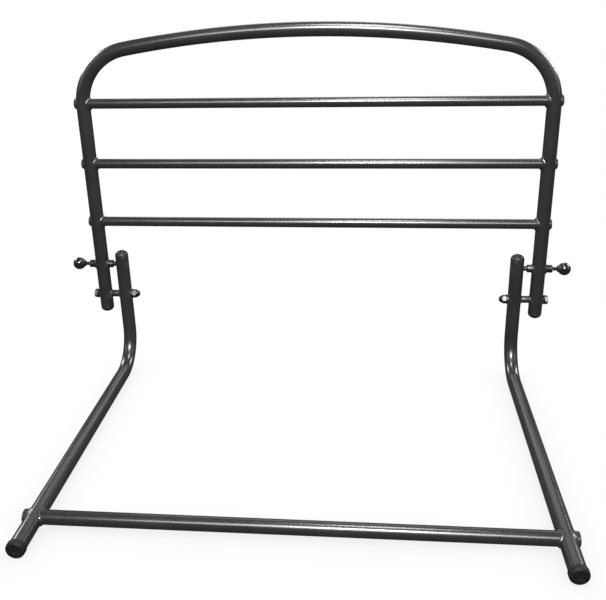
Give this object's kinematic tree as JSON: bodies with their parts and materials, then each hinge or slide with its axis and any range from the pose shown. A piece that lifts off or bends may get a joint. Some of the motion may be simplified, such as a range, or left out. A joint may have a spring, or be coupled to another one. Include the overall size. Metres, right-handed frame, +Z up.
{
  "type": "bed assist rail",
  "caption": "Fold-down bed assist rail: an arched grab hoop with straight rods, pivoted on an L-shaped base frame that slides under the mattress, with a sprung lock pin on each side.",
  "frame": {"origin": "on the plane that the base rests on, midway between the two sides and straight below the pivot axis", "axes": "+X along the rail towards the right-hand side, the base legs lie towards -Y under the mattress, +Z up"},
  "size_m": [0.843, 0.5051, 0.5919],
  "materials": {
    "powder_coat": "semi-gloss charcoal powder coat on welded steel tube",
    "dark_steel": "black zinc plated steel",
    "spring_steel": "oiled spring wire",
    "black_plastic": "moulded black polyethylene, satin",
    "black_rubber": "black rubber, matte with a fine moulded texture",
    "knob_plastic": "gloss black phenolic"
  },
  "bodies": {
    "base": {"left_base_tube": "powder_coat", "right_base_tube": "powder_coat", "base_cross_bar": "powder_coat", "cross_bar_plugs": "black_plastic", "left_upright_cap": "black_plastic", "right_upright_cap": "black_plastic", "left_base_ferrule": "black_rubber", "right_base_ferrule": "black_rubber", "left_base_pivot_sleeve": "powder_coat", "right_base_pivot_sleeve": "powder_coat", "left_pivot_spacer": "dark_steel", "right_pivot_spacer": "dark_steel", "left_pivot_washers": "dark_steel", "right_pivot_washers": "dark_steel", "left_pivot_bolt": "dark_steel", "right_pivot_bolt": "dark_steel", "left_pivot_cap_nut": "dark_steel", "right_pivot_cap_nut": "dark_steel"},
    "rail": {"rail_hoop": "powder_coat", "upper_rod": "powder_coat", "middle_rod": "powder_coat", "lower_rod": "powder_coat", "rod_plugs": "black_plastic", "left_rail_end_cap": "black_plastic", "right_rail_end_cap": "black_plastic", "left_rail_pivot_sleeve": "powder_coat", "right_rail_pivot_sleeve": "powder_coat", "left_plunger_housing": "dark_steel", "right_plunger_housing": "dark_steel", "left_plunger_gland": "dark_steel", "right_plunger_gland": "dark_steel", "left_plunger_spring": "spring_steel", "right_plunger_spring": "spring_steel"},
    "left_lock": {"left_lock_pin": "dark_steel", "left_pull_knob": "knob_plastic"},
    "right_lock": {"right_lock_pin": "dark_steel", "right_pull_knob": "knob_plastic"}
  },
  "joints": [
    {"name": "rail_fold", "type": "hinge", "parent": "base", "child": "rail", "pos_m": [0, 0, 0.139], "axis": [-1, 0, 0], "range_deg": [-90, 165]},
    {"name": "left_lock_pull", "type": "slide", "parent": "rail", "child": "left_lock", "axis": [-1, 0, 0], "range_m": [0, 0.011], "stiffness_N_per_m": 500, "springref_m": -0.01, "deforming": ["left_plunger_spring"]},
    {"name": "right_lock_pull", "type": "slide", "parent": "rail", "child": "right_lock", "axis": [1, 0, 0], "range_m": [0, 0.011], "stiffness_N_per_m": 500, "springref_m": -0.01, "deforming": ["right_plunger_spring"]}
  ]
}
